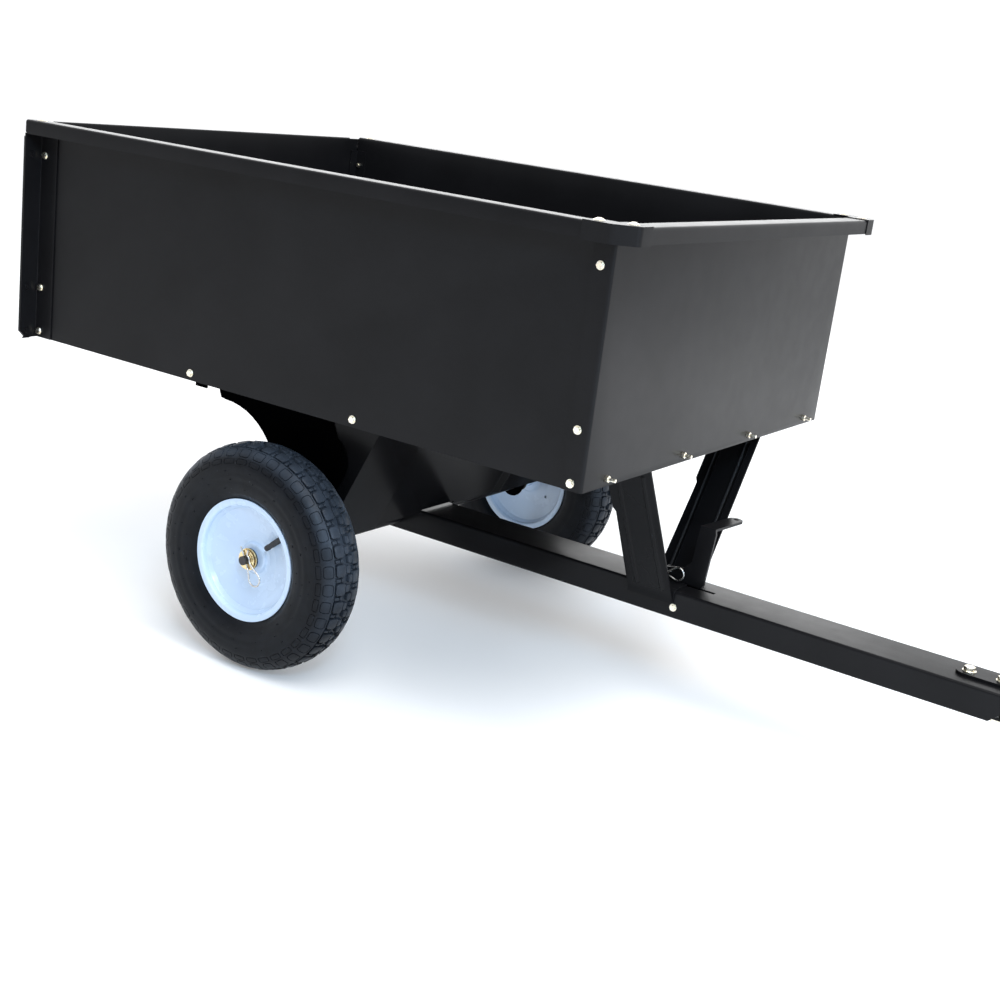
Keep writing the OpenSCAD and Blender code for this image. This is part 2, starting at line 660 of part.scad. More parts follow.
module latch_pin() color(zinc) difference() {
    union() {
        far = ear_far + ear_t / 2;
        along_y(-20, far + 0.2) translate([pivot_x, pivot_z]) circle(r = pivot_r);
        along_y(far + 0.1, far + 3) translate([pivot_x, pivot_z]) circle(r = 7);
    }
    rod_x([pivot_x, latch_clip_y, pivot_z], clip_wire + run, 20);
}
module latch_clip() translate([pivot_x, latch_clip_y, pivot_z]) rotate([90, 0, 0]) mirror([0, 0, 1])
    spring_clip(pivot_r, 12.5, 30, 9);
module latch_spring() color(steel) translate([pivot_x, 0, pivot_z]) rotate([90, 0, 0]) rotate_extrude() {
    reach = ear_far - ear_t / 2 - pedal_t / 2 - 0.8;
    turns = 4;
    for (i = [0:turns - 1]) translate([6.2, -pedal_t / 2 - 0.4 - reach * (i + 0.5) / turns])
        circle(r = reach / turns / 2 + 0.05, $fn = 24);
}

// Foot pedal: a flat lever with its catch below and its top turned over as the tread
module latch_pedal() color(paint) difference() {
    union() {
        along_y(-pedal_t / 2, pedal_t / 2) {
            translate([pivot_x, pivot_z]) circle(r = 11);
            polygon([[pivot_x, pivot_z - 11], [580, tongue_top + 4], [640, tongue_top + 2],
                [645, tongue_top + 8], [653, pedal_top - 10], [651, pedal_top], [622, pedal_top],
                [616, 275], [602, 259], [pivot_x, pivot_z + 11]]);
            polygon([[588, pivot_z], [606, pivot_z], [606, 200], [catch_x - catch_r - 0.6, 194],
                [catch_x - catch_r - 0.6, 188], [606, 184], [592, 184]]);
        }
        along_z(pedal_top - 5, pedal_top) difference() {
            union() {
                polygon([[622, -pedal_t / 2], [650, -pedal_t / 2], [658.6, tread_y], [631.4, tread_y]]);
                translate([645, tread_y]) circle(r = 13.6);
            }
            translate([646, tread_y + 2]) circle(r = 5);
        }
    }
    rod_y([pivot_x, 0, pivot_z], pivot_r + run, 10);
}

// ---- what to draw ----------------------------------------------------------------------

module placed() translate([axle_x, 0, 0]) children();
placed() tongue();
placed() axle();
placed() axle_spacer_right();
placed() axle_spacer_left();
placed() wheel_washers_right();
placed() wheel_washers_left();
placed() wheel_clip_right();
placed() wheel_clip_left();
placed() catch_bolt();
placed() hitch_strap_top();
placed() hitch_strap_bottom();
placed() hitch_bolts();
placed() tyre_right();
placed() rim_right();
placed() hub_right();
placed() hub_bushes_right();
placed() valve_right();
placed() tyre_left();
placed() rim_left();
placed() hub_left();
placed() hub_bushes_left();
placed() valve_left();
placed() floor_pan();
placed() floor_edge_right();
placed() floor_edge_left();
placed() floor_edge_front();
placed() side_panel_right();
placed() side_panel_left();
placed() front_panel();
placed() corner_cap_right();
placed() corner_cap_left();
placed() rear_angle_right();
placed() rear_angle_left();
placed() tailgate_track_right();
placed() tailgate_track_left();
placed() tailgate_guide_right();
placed() tailgate_guide_left();
placed() side_bolts_right();
placed() side_bolts_left();
placed() front_bolts();
placed() rail_bolts();
placed() guide_bolts();
placed() axle_bracket_right();
placed() axle_bracket_left();
placed() cross_member();
placed() bracket_bolts();
placed() latch_strut_right();
placed() latch_strut_left();
placed() strut_bolts();
placed() saddle();
placed() latch_pin();
placed() latch_clip();
placed() latch_spring();
placed() latch_pedal();
placed() tailgate();
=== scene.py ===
import json
import math

import bmesh
import bpy
from mathutils import Matrix, Vector

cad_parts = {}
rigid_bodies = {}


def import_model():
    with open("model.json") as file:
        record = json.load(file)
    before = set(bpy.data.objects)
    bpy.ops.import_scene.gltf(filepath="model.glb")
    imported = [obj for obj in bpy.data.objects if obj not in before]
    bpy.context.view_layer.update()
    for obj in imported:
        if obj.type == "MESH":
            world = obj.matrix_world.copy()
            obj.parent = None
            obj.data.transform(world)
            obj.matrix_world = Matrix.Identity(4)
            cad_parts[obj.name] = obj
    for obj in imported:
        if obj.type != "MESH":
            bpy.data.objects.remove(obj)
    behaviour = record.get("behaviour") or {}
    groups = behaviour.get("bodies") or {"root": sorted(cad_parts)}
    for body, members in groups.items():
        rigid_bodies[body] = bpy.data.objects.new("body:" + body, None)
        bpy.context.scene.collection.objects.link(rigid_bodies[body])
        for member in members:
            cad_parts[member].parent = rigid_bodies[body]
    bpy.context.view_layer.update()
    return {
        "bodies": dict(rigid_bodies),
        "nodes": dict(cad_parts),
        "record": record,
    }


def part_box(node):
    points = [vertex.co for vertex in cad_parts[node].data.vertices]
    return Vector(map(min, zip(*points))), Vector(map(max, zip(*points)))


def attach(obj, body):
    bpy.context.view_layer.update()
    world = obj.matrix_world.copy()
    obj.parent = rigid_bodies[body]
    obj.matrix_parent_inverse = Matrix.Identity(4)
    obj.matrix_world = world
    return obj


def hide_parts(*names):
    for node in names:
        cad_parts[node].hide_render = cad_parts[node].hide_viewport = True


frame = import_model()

# A tow behind cart: every node of the frame gets a procedural material and eased edges, and the
# tyres, clips and spring are drawn anew.
NODES = frame["nodes"]
BODY_OF = {n: b for n, o in NODES.items() for b, e in frame["bodies"].items() if o.parent is e}
SLOT_OF = {s["node"]: s["material_slot"] for s in frame["record"]["subparts"]}

# ---------------------------------------------------------------- places in the row frame
MM = 0.001
AXLE_LO, AXLE_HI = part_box("axle")
AX = (AXLE_LO.x + AXLE_HI.x) / 2          # the axle's X and Z in metres
AZ = (AXLE_LO.z + AXLE_HI.z) / 2


def P(x, y, z):
    """Millimetres measured from the point under the axle, as metres in the row frame."""
    return Vector((AX + x * MM, y * MM, z * MM))


# ---------------------------------------------------------------- camera
LENS = 53.413                             # millimetres on a 36 mm sensor
CAMERA_AT = P(1643.06, -2328.16, 1061.43)
CAMERA_TURN = Vector((1.7524, 0.6206, -0.2987))   # rotation vector, from the row frame


def make_camera():
    """The camera of the fitted view, which also carries the cart's lean."""
    cam = bpy.data.objects.new("camera", bpy.data.cameras.new("camera"))
    bpy.context.scene.collection.objects.link(cam)
    cam.data.lens = LENS
    cam.data.sensor_width = 36
    cam.data.clip_start = 0.05
    cam.data.clip_end = 60
    rows = Matrix.Rotation(CAMERA_TURN.length, 3, CAMERA_TURN.normalized())
    look = Matrix((rows[0], -rows[1], -rows[2])).transposed()
    cam.matrix_world = Matrix.Translation(CAMERA_AT) @ look.to_4x4()
    bpy.context.scene.camera = cam


make_camera()


# ---------------------------------------------------------------- materials
class Mat:
    """A Principled material built up from object-space noise."""

    def __init__(self, name, color, rough, metal=0.0, spec=0.5, coat=0.0, coat_rough=0.03):
        self.m = bpy.data.materials.new(name)
        self.m.use_nodes = True
        self.t = self.m.node_tree
        self.b = self.t.nodes["Principled BSDF"]
        self.b.inputs["Base Color"].default_value = (*color, 1)
        self.b.inputs["Roughness"].default_value = rough
        self.b.inputs["Metallic"].default_value = metal
        self.b.inputs["Specular IOR Level"].default_value = spec
        self.b.inputs["Coat Weight"].default_value = coat
        self.b.inputs["Coat Roughness"].default_value = coat_rough
        self.co = self.t.nodes.new("ShaderNodeTexCoord")
        self.height = None                # the last bump, which the next one adds to

    def noise(self, scale, detail=2.0, rough=0.5, stretch=None):
        """Noise from 0 to 1; scale is about how many blobs there are to a metre."""
        n = self.t.nodes.new("ShaderNodeTexNoise")
        n.inputs["Scale"].default_value = scale
        n.inputs["Detail"].default_value = detail
        n.inputs["Roughness"].default_value = rough
        src = self.co.outputs["Object"]
        if stretch:
            mp = self.t.nodes.new("ShaderNodeMapping")
            mp.inputs["Scale"].default_value = stretch
            self.t.links.new(src, mp.inputs["Vector"])
            src = mp.outputs["Vector"]
        self.t.links.new(src, n.inputs["Vector"])
        return n.outputs["Fac"]

    def ramp(self, fac, stops):
        """Colours or grey levels at the stops, and blends of them between."""
        r = self.t.nodes.new("ShaderNodeValToRGB")
        e = r.color_ramp.elements
        while len(e) < len(stops):
            e.new(0.5)
        for el, (pos, c) in zip(e, stops):
            el.position = pos
            el.color = (*c, 1) if hasattr(c, "__len__") else (c, c, c, 1)
        self.t.links.new(fac, r.inputs["Fac"])
        return r.outputs["Color"]

    def colour(self, fac, stops):
        self.t.links.new(self.ramp(fac, stops), self.b.inputs["Base Color"])

    def radius(self, x, z):
        """Distance from the line along Y through (x, z)."""
        sub = self.t.nodes.new("ShaderNodeVectorMath")
        sub.operation = "SUBTRACT"
        sub.inputs[1].default_value = (x, 0, z)
        self.t.links.new(self.co.outputs["Object"], sub.inputs[0])
        flat = self.t.nodes.new("ShaderNodeVectorMath")
        flat.operation = "MULTIPLY"
        flat.inputs[1].default_value = (1, 0, 1)
        self.t.links.new(sub.outputs["Vector"], flat.inputs[0])
        size = self.t.nodes.new("ShaderNodeVectorMath")
        size.operation = "LENGTH"
        self.t.links.new(flat.outputs["Vector"], size.inputs[0])
        return size.outputs["Value"]

    def level(self):
        """Height above the ground."""
        n = self.t.nodes.new("ShaderNodeSeparateXYZ")
        self.t.links.new(self.co.outputs["Object"], n.inputs["Vector"])
        return n.outputs["Z"]

    def mix(self, fac, a, b):
        """Colour a where fac is 0 and b where it is 1."""
        n = self.t.nodes.new("ShaderNodeMix")
        n.data_type = "RGBA"
        self.t.links.new(fac, n.inputs["Factor"])
        for socket, source in (("A", a), ("B", b)):
            to = [i for i in n.inputs if i.name == socket and i.type == "RGBA"][0]
            self.t.links.new(source, to)
        return [o for o in n.outputs if o.type == "RGBA"][0]

    def blend(self, fac, a, b):
        """Base colour a where fac is 0 and b where it is 1."""
        self.t.links.new(self.mix(fac, a, b), self.b.inputs["Base Color"])

    def roughness(self, fac, lo, hi):
        self.t.links.new(self.ramp(fac, [(0.3, lo), (0.7, hi)]), self.b.inputs["Roughness"])

    def bump(self, fac, dist, strength=1.0):
        n = self.t.nodes.new("ShaderNodeBump")
        n.inputs["Distance"].default_value = dist
        n.inputs["Strength"].default_value = strength
        self.t.links.new(fac, n.inputs["Height"])
        if self.height is not None:
            self.t.links.new(self.height, n.inputs["Normal"])
        self.height = n.outputs["Normal"]
        self.t.links.new(self.height, self.b.inputs["Normal"])


def scaled(c, k):
    return tuple(min(1.0, v * k) for v in c)


def powder_coat(name="powder_coat", c=(0.0066, 0.0064, 0.007), spec=0.06, coat=0.16, coat_rough=0.2):
    """Satin black powder coat: fine orange peel, and a faint mottle in colour and gloss."""
    m = Mat(name, c, 0.38, spec=spec, coat=coat, coat_rough=coat_rough)
    m.colour(m.noise(7, 3), [(0.3, scaled(c, 0.85)), (0.7, scaled(c, 1.25))])
    m.roughness(m.noise(31, 4), 0.35, 0.4)
    m.bump(m.noise(420, 2), 0.00012, 0.6)
    m.bump(m.noise(1900, 1), 0.00003, 0.5)
    return m.m


def zinc_plate(name="zinc_plate", warm=0.0):
    """Passivated zinc with patches of straw, rose and pale green, yellower as warm goes to 1."""
    m = Mat(name, (0.88, 0.84, 0.72), 0.28, 1.0)
    tint = (1 - 0.08 * warm, 1 - 0.24 * warm, 1 - 0.52 * warm)
    patches = ((0.3, (0.95, 0.94, 0.88)), (0.47, (0.93, 0.87, 0.68)), (0.6, (0.93, 0.84, 0.74)),
               (0.72, (0.84, 0.88, 0.78)))
    m.colour(m.noise(160, 2), [(at, tuple(v * t for v, t in zip(c, tint))) for at, c in patches])
    m.roughness(m.noise(400, 3), 0.2, 0.36)
    m.bump(m.noise(1500, 2), 0.00003, 0.5)
    return m.m


def drawn_steel(name="drawn_steel", c=(0.62, 0.6, 0.57), lo=0.2, hi=0.4):
    """Bright steel with fine drawing lines."""
    m = Mat(name, c, 0.3, 1.0)
    m.colour(m.noise(60, 3), [(0.3, scaled(c, 0.85)), (0.7, scaled(c, 1.1))])
    m.roughness(m.noise(500, 3, stretch=(1, 0.05, 1)), lo, hi)
    m.bump(m.noise(1800, 2, stretch=(1, 0.03, 1)), 0.00002, 0.5)
    return m.m


def tyre_rubber():
    """Moulded rubber with fine pitting: dark sides with pale specks, and a painted bluish sheen
    on the tread that fades towards the ground as painted shade."""
    side, tread = (0.0042, 0.005, 0.0068), (0.026, 0.033, 0.044)
    m = Mat("tyre_rubber", side, 0.4, spec=0.14)
    n = m.noise(30, 4, 0.6)
    low = m.ramp(n, [(0.3, scaled(side, 0.75)), (0.7, scaled(side, 1.5))])
    specks = m.ramp(m.noise(230, 1), [(0.76, 0), (0.8, 0.6)])
    dust = m.ramp(n, [(0.3, (0.04, 0.045, 0.055)), (0.7, (0.06, 0.066, 0.075))])
    low = m.mix(specks, low, dust)
    # the tread's paler, bluish colour is a painted sheen
    high = m.ramp(n, [(0.3, scaled(tread, 0.7)), (0.7, scaled(tread, 1.35))])
    # the tread falls back to the sidewall's dark colour near the ground: painted shade
    high = m.mix(m.ramp(m.level(), [(0.07, 0), (0.25, 1)]), low, high)
    m.blend(m.ramp(m.radius(AX, AZ), [(0.178, 0), (0.192, 1)]), low, high)
    m.roughness(m.noise(85, 4), 0.32, 0.48)
    m.bump(m.noise(260, 4, 0.6), 0.00018, 0.6)
    m.bump(m.noise(1300, 2), 0.00005, 0.5)
    return m.m


def plain_rubber():
    """Matt black rubber, for the valves and the hubs' bushes."""
    c = (0.016, 0.016, 0.018)
    m = Mat("black_rubber", c, 0.55, spec=0.4)
    m.colour(m.noise(90, 3), [(0.3, scaled(c, 0.8)), (0.7, scaled(c, 1.4))])
    m.roughness(m.noise(220, 3), 0.45, 0.65)
    m.bump(m.noise(900, 3), 0.00005, 0.5)
    return m.m


def white_enamel():
    """Baked white enamel, a little blue, with slight orange peel."""
    m = Mat("white_enamel", (0.52, 0.64, 0.8), 0.25, spec=0.5, coat=0.2)
    m.colour(m.noise(9, 3), [(0.3, (0.5, 0.62, 0.78)), (0.7, (0.54, 0.66, 0.82))])
    m.roughness(m.noise(40, 3), 0.2, 0.3)
    m.bump(m.noise(350, 2), 0.00006, 0.5)
    return m.m


BLACK = powder_coat()
# a darker copy of the black powder coat: painted shade on the cross member and latch struts
SHADE_DARKENED_COAT = powder_coat("frame_coat_painted_shade", (0.0052, 0.0051, 0.0056), 0.0, 0.24)
# a near-black copy of the powder coat: painted shade on the axle brackets under the tray
BRACKET_SHADE_COAT = powder_coat("bracket_painted_shade", (0.0008, 0.0008, 0.0009), 0.0, 0.0)
ZINC = zinc_plate()
STEEL = drawn_steel()
TYRE = tyre_rubber()
RUBBER = plain_rubber()
WHITE = white_enamel()
AXLE_END = drawn_steel("blued_steel", (0.07, 0.068, 0.07), 0.3, 0.5)
WASHER = zinc_plate("yellow_zinc", 1.0)
BY_SLOT = {"black_paint": BLACK, "zinc_plate": ZINC, "bright_steel": STEEL, "tyre": TYRE,
           "black_rubber": RUBBER, "white_paint": WHITE}
# nodes whose look differs from their slot's; the darker coats of the frame parts and axle brackets are
# painted shade
OTHER = {"axle": AXLE_END, "guide_bolts": BLACK, "cross_member": SHADE_DARKENED_COAT}
for word, mat in (("wheel_washers", WASHER), ("axle_bracket", BRACKET_SHADE_COAT), ("latch_strut", SHADE_DARKENED_COAT)):
    OTHER.update({word + "_right": mat, word + "_left": mat})


def mat_of(node):
    return OTHER.get(node, BY_SLOT[SLOT_OF[node]])


# ---------------------------------------------------------------- making pieces
def stand_in(name, data, node):
    """A piece that takes this CAD node's place, body and material."""
    ob = bpy.data.objects.new(name, data)
    bpy.context.scene.collection.objects.link(ob)
    data.materials.clear()
    data.materials.append(mat_of(node))
    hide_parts(node)
    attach(ob, BODY_OF[node])
    return ob


SHARP = math.radians(34)                  # an edge that turns more than this is eased


def shade_smooth(bm, limit):
    """Smooth shading, with the edges that turn more than limit left sharp."""
    for f in bm.faces:
        f.smooth = True
    for e in bm.edges:
        e.smooth = not (len(e.link_faces) == 2 and e.calc_face_angle(0) > limit)


def refined(node, width):
    """The node's own mesh, its curves shaded smooth and its sharp edges eased by width (mm)."""
    bm = bmesh.new()
    bm.from_mesh(NODES[node].data)
    bmesh.ops.remove_doubles(bm, verts=bm.verts, dist=2e-6)
    bmesh.ops.dissolve_limit(bm, angle_limit=math.radians(0.6), verts=bm.verts, edges=bm.edges,
                             delimit={"MATERIAL"})
    shade_smooth(bm, SHARP)
    me = bpy.data.meshes.new(node + "_form")
    bm.to_mesh(me)
    bm.free()
    bv = stand_in(node + "_form", me, node).modifiers.new("ease", "BEVEL")
    bv.width = width * MM
    bv.segments = 2
    bv.limit_method = "ANGLE"
    bv.angle_limit = SHARP
    bv.use_clamp_overlap = True
    bv.harden_normals = True


def wire(name, pts, r, node):
    """Round wire along points in millimetres from the axle."""
    cu = bpy.data.curves.new(name, "CURVE")
    cu.dimensions = "3D"
    sp = cu.splines.new("NURBS")
    sp.points.add(len(pts) - 1)
    for p, q in zip(sp.points, pts):
        p.co = (*P(*q), 1)
    sp.order_u = 3
    sp.use_endpoint_u = True
    cu.resolution_u = 6
    cu.bevel_depth = r * MM
    cu.bevel_resolution = 4
    cu.use_fill_caps = True
    stand_in(name, cu, node)


# ---------------------------------------------------------------- tyres
# All in millimetres: radii, half widths, and arc lengths from the crown across the tread.
TYRE_LO, TYRE_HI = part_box("tyre_right")
RIM_LO, RIM_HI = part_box("rim_right")
TYRE_R = (TYRE_HI.z - TYRE_LO.z) / 2 / MM
TYRE_W = (TYRE_HI.y - TYRE_LO.y) / 2 / MM
RIM_R = (RIM_HI.z - RIM_LO.z) / 2 / MM
RIM_W = (RIM_HI.y - RIM_LO.y) / 2 / MM
WHEEL_Y = -(TYRE_HI.y + TYRE_LO.y) / 2 / MM
PITCHES = 38                              # repeats of the tread's pattern round the tyre
SEGMENTS = 8 * PITCHES                    # round the carcass
DEEP = 6.0                                # depth of the ground between the middle blocks
MIDDLE = 29.4                             # where that ground begins to rise
SHOULDER = (31.6, 54.6, 66.6)             # the bounds of the two moulded rows
RIDGES = ((88, 3, 0.7), (97, 3.5, -0.6), (118, 4, 0.6))   # on the sidewall: place, half width, height
BEAD_RIDGE = (4, 4, 1.2)                  # the same, its place measured from the bead
NIBS = ((78, 0.25), (93, 0.0), (108, 0.5))   # rows of nibs: place, and turn in parts of a step
NIBS_ROUND = 26


class Profile:
    """The tyre's outer section by arc length from the crown, in millimetres."""

    def __init__(self):
        h = (TYRE_R - RIM_R + 10) / 2     # half the section's height, with what the rim hides
        c = TYRE_R - h
        pts = []
        for i in range(241):
            s = math.sin(math.radians(90 - i * 151 / 240))
            e = 2.5 if s >= 0 else 2.8    # a superellipse, squarer below its widest place
            pts.append((TYRE_W * max(0.0, 1 - abs(s) ** e) ** (1 / e), c + h * s))
        self.pts, self.arc = pts, [0.0]
        for a, b in zip(pts, pts[1:]):
            self.arc.append(self.arc[-1] + math.dist(a, b))
        self.length = self.arc[-1]

    def at(self, a, depth=0.0):
        """(y, r) at arc length a, this deep below the surface."""
        s, a = (-1 if a < 0 else 1), min(abs(a), self.length - 1e-6)
        i = max(k for k in range(len(self.arc) - 1) if self.arc[k] <= a)
        f = (a - self.arc[i]) / (self.arc[i + 1] - self.arc[i])
        (y0, r0), (y1, r1) = self.pts[i], self.pts[i + 1]
        lo, hi = max(i - 3, 0), min(i + 4, len(self.pts) - 1)
        ty, tr = self.pts[hi][0] - self.pts[lo][0], self.pts[hi][1] - self.pts[lo][1]
        n = math.hypot(ty, tr)
        ny, nr = (0.0, 1.0) if lo == 0 and a < 1 else (-tr / n, ty / n)
        return s * (y0 + f * (y1 - y0) - ny * depth), r0 + f * (r1 - r0) - nr * depth


PROFILE = Profile()


def groove(a):
    """How deep the ground lies at arc length a."""
    stops = [(0, DEEP), (MIDDLE, DEEP), (SHOULDER[0], 0.3), (SHOULDER[1], 0.15), (SHOULDER[2], 0),
             (TYRE_R, 0)]
    for (a0, d0), (a1, d1) in zip(stops, stops[1:]):
        if abs(a) <= a1:
            return d0 + (d1 - d0) * (abs(a) - a0) / (a1 - a0)


def octagon(ha, hc, cut):
    """A block's outline across (a) and along (c) the tread, its corners cut off."""
    return [(ha - cut, -hc), (ha, -hc + cut), (ha, hc - cut), (ha - cut, hc),
            (-ha + cut, hc), (-ha, hc - cut), (-ha, -hc + cut), (-ha + cut, -hc)]


def tyre_mesh(name, side):
    """A whole tyre: a carcass with ridges and beads, moulded shoulder rows, blocks and nibs."""
    verts, faces = [], []
    y0 = side * WHEEL_Y

    def put(y, r, th):
        verts.append(P(r * math.cos(th), y0 + y, AZ / MM + r * math.sin(th)))
        return len(verts) - 1

    # the carcass: outside with its ridges, beads and inside, swept round
    length = PROFILE.length
    steps = [0, 6, 12, 18, 24, MIDDLE, 31, SHOULDER[0], SHOULDER[2], 71, 76, 80, 84, 88, 92, 96]
    gap = steps.index(SHOULDER[0])        # the shoulder is left to the moulded rows
    a = 99.0
    while a < length - 2:
        steps.append(a)
        a += 3.0
    steps.append(length)
    ring = []
    ridges = RIDGES + ((length - BEAD_RIDGE[0], *BEAD_RIDGE[1:]),)
    for a in steps:
        lift = 0.0
        for centre, half, high in ridges:
            if abs(a - centre) < half:
                lift += high * 0.5 * (1 + math.cos(math.pi * (a - centre) / half))
        ring.append(PROFILE.at(a, groove(a) - lift))
    # the bead's seat, then the inside
    ring += [(RIM_W - 4.0, RIM_R - 9), (RIM_W - 16, RIM_R - 9), (TYRE_W - 9, 150),
             (TYRE_W - 16, 178), (22, TYRE_R - 11), (0, TYRE_R - 11)]
    loop = ring + [(-y, r) for y, r in reversed(ring[1:-1])]
    ids = [[put(y, r, 2 * math.pi * k / SEGMENTS) for y, r in loop] for k in range(SEGMENTS)]
    m = len(loop)
    for k in range(SEGMENTS):
        p, q = ids[k], ids[(k + 1) % SEGMENTS]
        for i in range(m):
            if i not in (gap, m - 1 - gap):
                faces.append((p[i], q[i], q[(i + 1) % m], p[(i + 1) % m]))

    step = 2 * math.pi / PITCHES

    def cell(side_of, turn, lo, hi, ha, hc, cut, deep):
        """One cell of a moulded row: a flush block with a narrow moat round it."""
        mid = (lo + hi) / 2
        r0 = PROFILE.at(mid)[1]
        rim = [(lo, (i / 8 - 0.5) * step) for i in range(8)]
        rim += [(lo + (hi - lo) * j / 4, step / 2) for j in range(4)]
        rim += [(hi, (0.5 - i / 8) * step) for i in range(8)]
        rim += [(hi - (hi - lo) * j / 4, -step / 2) for j in range(4)]
        aim = []
        for a, t in rim:
            da, dc = a - mid, t * r0
            k = max(abs(da) / ha, abs(dc) / hc, (abs(da) + abs(dc)) / (ha + hc - cut))
            aim.append((da / k, dc / k))
        rows = []
        moat = ((0.45, 1, deep), (1.15, 1, deep), (1.6, 1, 0.2))
        for grow, share, d in ((0, 0.55, 0), (0, 1, 0.1)) + moat:
            row = []
            for da, dc in aim:
                k = share + grow / math.hypot(da, dc)
                y, r = PROFILE.at(side_of * (mid + da * k), d)
                row.append(put(y, r, turn + dc * k / r0))
            rows.append(row)
        rows.append([put(*PROFILE.at(side_of * a, groove(a)), turn + t) for a, t in rim])
        y, r = PROFILE.at(side_of * mid, 0)
        hub = put(y, r, turn)
        n = len(rim)
        for i in range(n):
            faces.append((hub, rows[0][i], rows[0][(i + 1) % n]))
            for up, down in zip(rows, rows[1:]):
                faces.append((up[i], down[i], down[(i + 1) % n], up[(i + 1) % n]))

    def block(a0, turn, outline, sink=0.0):
        """A raised block: a top, a small chamfer and walls that splay towards the ground."""
        r0 = PROFILE.at(a0)[1]
        deep = groove(a0) + 0.5
        rings = []
        for grow, d in ((0.0, sink), (0.7, sink + 0.25), (1.0, sink + 0.9), (1.0 + 0.12 * deep, deep)):
            row = []
            for da, dc in outline:
                size = math.hypot(da, dc)
                k = (size - 1.0 + grow) / size
                y, r = PROFILE.at(a0 + da * k, d)
                row.append(put(y, r, turn + dc * k / r0))
            rings.append(row)
        faces.append(tuple(rings[0]))
        for up, down in zip(rings, rings[1:]):
            for i in range(len(up)):
                j = (i + 1) % len(up)
                faces.append((up[i], down[i], down[j], up[j]))

    for k in range(PITCHES):
        for s in (-1, 1):
            u = (k + (0.5 if s > 0 else 0)) * step
            cell(s, u, SHOULDER[0], SHOULDER[1], 8.0, 9.6, 2.6, 2.0)
            cell(s, u, SHOULDER[1], SHOULDER[2], 3.9, 10.2, 0.6, 1.2)
            block(s * 18.9, u, octagon(9.6, 10.4, 3.0))
            block(s * 3.2, u, octagon(4.6, 6.6, 2.0), 0.2)
            block(s * 25.0, u + step / 2, octagon(4.6, 2.6, 0.9), 0.8)
            block(s * 15.6, u + step / 2, octagon(2.4, 2.8, 0.8), 1.6)
    # small moulding nibs on the sidewalls, six-sided and narrower at the top
    base = [(math.cos(i * math.pi / 3), math.sin(i * math.pi / 3)) for i in range(6)]
    tip = [(0.6 * da, 0.6 * dc) for da, dc in base]
    for s in (-1, 1):
        for k in range(NIBS_ROUND):
            for a, off in NIBS:
                th = 2 * math.pi * (k + off) / NIBS_ROUND + 0.13 * math.sin(k * 2.1)
                r0 = PROFILE.at(a)[1]
                low = [put(*PROFILE.at(s * (a + da), 0.3), th + dc / r0) for da, dc in base]
                top = [put(*PROFILE.at(s * (a + da), -1.3), th + dc / r0) for da, dc in tip]
                faces.append(tuple(top))
                for i in range(6):
                    faces.append((low[i], low[(i + 1) % 6], top[(i + 1) % 6], top[i]))

    me = bpy.data.meshes.new(name)
    me.from_pydata(verts, [], faces)
    bm = bmesh.new()
    bm.from_mesh(me)
    bmesh.ops.remove_doubles(bm, verts=bm.verts, dist=2e-5)
    bmesh.ops.recalc_face_normals(bm, faces=bm.faces)
    shade_smooth(bm, math.radians(32))
    bm.to_mesh(me)
    bm.free()
    return me


for side, word in ((-1, "right"), (1, "left")):
    stand_in("tyre_tread_" + word, tyre_mesh("tyre_tread_" + word, side), "tyre_" + word)


# ---------------------------------------------------------------- clips and spring
CLIP_WIRE = 1.65                          # radius of the clips' wire
SPRING_WIRE = 0.85
SPRING_R = 6.2                            # radius of the coil, to the wire's middle
SPRING_TURNS = 4.5


def round_by(r, angle):
    return r * math.cos(math.radians(angle)), r * math.sin(math.radians(angle))


def clip_path(pin_r, bow, neck, leg):
    """A spring clip in its own plane: straight leg, bow, and a leg that hugs the pin."""
    hug = pin_r + 1.8
    path = [(-leg, 0), (-leg + 1, 0), (0, 0), (pin_r + 3, 0), (neck * 0.55, -0.6)]
    for a in range(-120, 121, 15):
        u, v = round_by(bow, a)
        path.append((neck + u, bow * 0.6 + v))
    path.append((round_by(hug * 1.15, 30)[0] + 5, hug))
    path += [round_by(hug, a) for a in range(50, 131, 16)]
    u, v = path[-1]
    path += [(u - 5, v + 3), (u - 8, v + 6)]
    return path


def clip_in_plane(path, x0, y0, z0, turn):
    """The path in the plane Y = y0, turned by this many degrees about its pin at (x0, z0)."""
    c, s = round_by(1, turn)
    return [(x0 + u * c + v * s, y0, z0 - u * s + v * c) for u, v in path]


def middle(node):
    """The middle of a node's box in millimetres from the point under the axle."""
    lo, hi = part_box(node)
    at = (lo + hi) / 2
    return (at.x - AX) / MM, at.y / MM, at.z / MM


WHEEL_CLIP = clip_path(8, 12.5, 37, 25)
LATCH_CLIP = clip_path(4, 12, 30, 9)
for word in ("right", "left"):
    node = "wheel_clip_" + word
    path = clip_in_plane(WHEEL_CLIP, 0, middle(node)[1], AZ / MM, 62)
    wire("split_clip_" + word, path, CLIP_WIRE, node)

PIN_X, _, PIN_Z = middle("latch_pin")
path = clip_in_plane(LATCH_CLIP, PIN_X, middle("latch_clip")[1], PIN_Z, 0)
wire("latch_split_clip", path, CLIP_WIRE, "latch_clip")


def coil():
    """The return spring's path round the latch pin, fourteen points to a turn."""
    lo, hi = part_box("latch_spring")
    y0, y1 = lo.y / MM + 0.9, hi.y / MM - 0.9
    steps = int(SPRING_TURNS * 14)
    pts = []
    for i in range(steps + 1):
        u, v = round_by(SPRING_R, 360 * i / 14)
        pts.append((PIN_X + u, y0 + (y1 - y0) * i / steps, PIN_Z + v))
    return pts


wire("latch_return_spring", coil(), SPRING_WIRE, "latch_spring")

# ---------------------------------------------------------------- everything else
DONE = ("tyre_", "wheel_clip_", "latch_clip", "latch_spring")
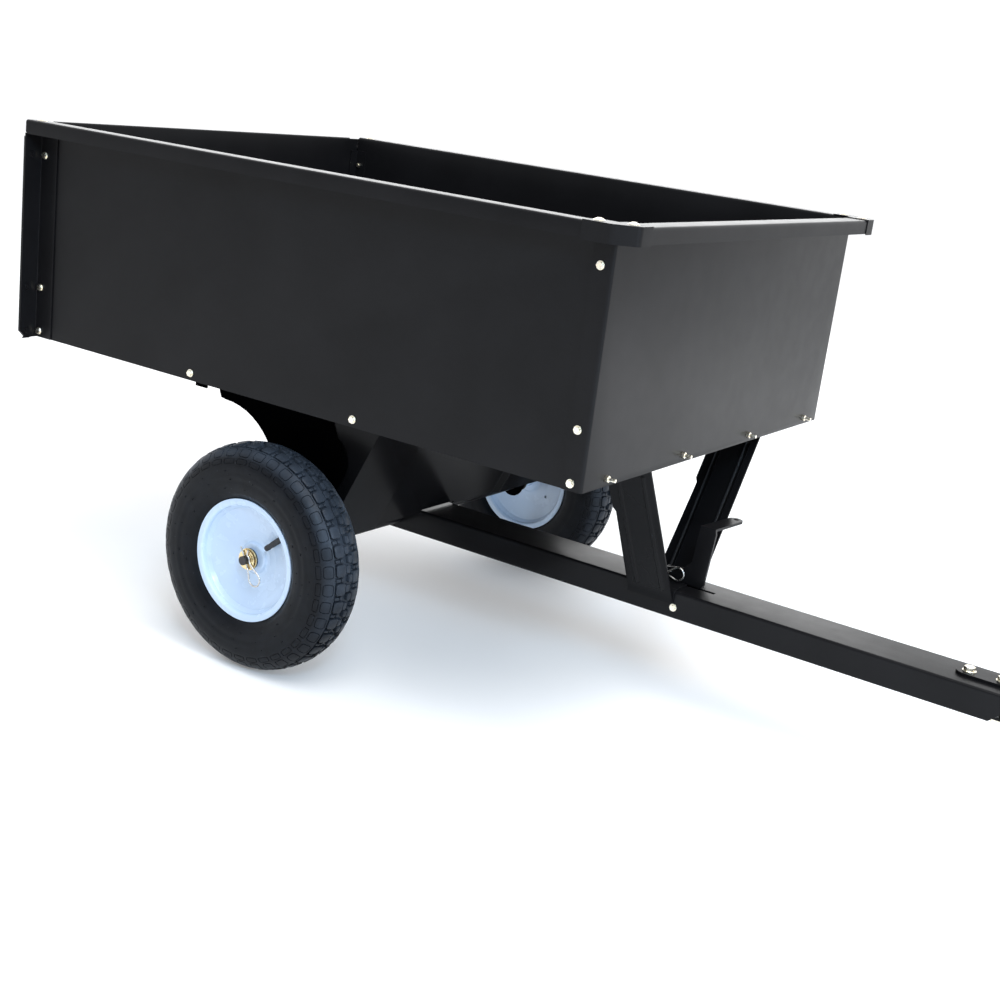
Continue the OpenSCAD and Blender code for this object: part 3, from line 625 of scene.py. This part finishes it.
# how far the edges are eased, by the start of the node's name
WIDTH = {"rim": 0.35, "hub": 0.5, "valve": 0.4, "axle": 0.8, "tailgate": 0.4, "floor": 0.3}
for node in NODES:
    if not node.startswith(DONE):
        width = 0.35 if "bolt" in node else 0.5
        for word, w in WIDTH.items():
            if node.startswith(word):
                width = w
        refined(node, width)


# ---------------------------------------------------------------- floor and light
def floor():
    """A plain pale floor, which glows a little so that it fades into the background."""
    m = Mat("studio_floor", (0.86, 0.86, 0.86), 0.9, spec=0.1)
    m.colour(m.noise(3, 2), [(0.3, (0.855, 0.855, 0.855)), (0.7, (0.865, 0.865, 0.865))])
    m.b.inputs["Emission Color"].default_value = (1, 1, 1, 1)
    m.b.inputs["Emission Strength"].default_value = 0.16
    me = bpy.data.meshes.new("studio_floor")
    me.from_pydata([(-40, -40, 0), (40, -40, 0), (40, 40, 0), (-40, 40, 0)], [], [(0, 1, 2, 3)])
    ob = bpy.data.objects.new("studio_floor", me)
    bpy.context.scene.collection.objects.link(ob)
    me.materials.append(m.m)


def area(name, at, to, size, power, color=(1, 1, 1)):
    """A rectangular lamp that faces a point; metres and watts."""
    lamp = bpy.data.lights.new(name, "AREA")
    lamp.shape = "RECTANGLE"
    lamp.size, lamp.size_y = size
    lamp.energy = power
    lamp.color = color
    ob = bpy.data.objects.new(name, lamp)
    bpy.context.scene.collection.objects.link(ob)
    ob.location = at
    ob.rotation_euler = (Vector(to) - Vector(at)).to_track_quat("-Z", "Y").to_euler()


SKY = ((0.0, (0.2, 0.21, 0.22)), (0.5, (0.5, 0.505, 0.515)), (1.0, (0.98, 0.99, 1.0)))


def light():
    """A white studio, dimmer on the near side, with a low soft light behind for the tops."""
    world = bpy.data.worlds.new("studio")
    world.use_nodes = True
    t = world.node_tree
    co = t.nodes.new("ShaderNodeTexCoord")
    dot = t.nodes.new("ShaderNodeVectorMath")
    dot.operation = "DOT_PRODUCT"
    dot.inputs[1].default_value = (-0.2, 0.46, 0.05)
    t.links.new(co.outputs["Generated"], dot.inputs[0])
    add = t.nodes.new("ShaderNodeMath")
    add.inputs[1].default_value = 0.5
    t.links.new(dot.outputs["Value"], add.inputs[0])
    r = t.nodes.new("ShaderNodeValToRGB")
    e = r.color_ramp.elements
    e.new(0.5)
    for el, (pos, c) in zip(e, SKY):
        el.position = pos
        el.color = (*c, 1)
    t.links.new(add.outputs[0], r.inputs["Fac"])
    bg = t.nodes["Background"]
    t.links.new(r.outputs["Color"], bg.inputs["Color"])
    bg.inputs["Strength"].default_value = 1.75
    bpy.context.scene.world = world
    bpy.context.scene.view_settings.view_transform = "Standard"
    area("key", (1.6, -1.6, 4.6), (0, 0, 0.3), (3.0, 3.0), 150)
    area("cool", (4.2, -1.1, 1.5), (-0.2, -0.3, 0.2), (0.5, 0.5), 70, (0.62, 0.8, 1.0))
    area("sheen", (2.4, -3.2, 3.0), (-0.35, -0.45, 0.25), (0.9, 0.9), 70, (0.5, 0.74, 1.0))
    area("far_floor", (1.9, 2.4, 1.5), (2.1, 2.9, 0), (1.2, 1.2), 45)
    area("behind", (-2.6, 3.6, 1.9), (0.2, 0, 0.5), (4.4, 2.0), 46)


floor()
light()
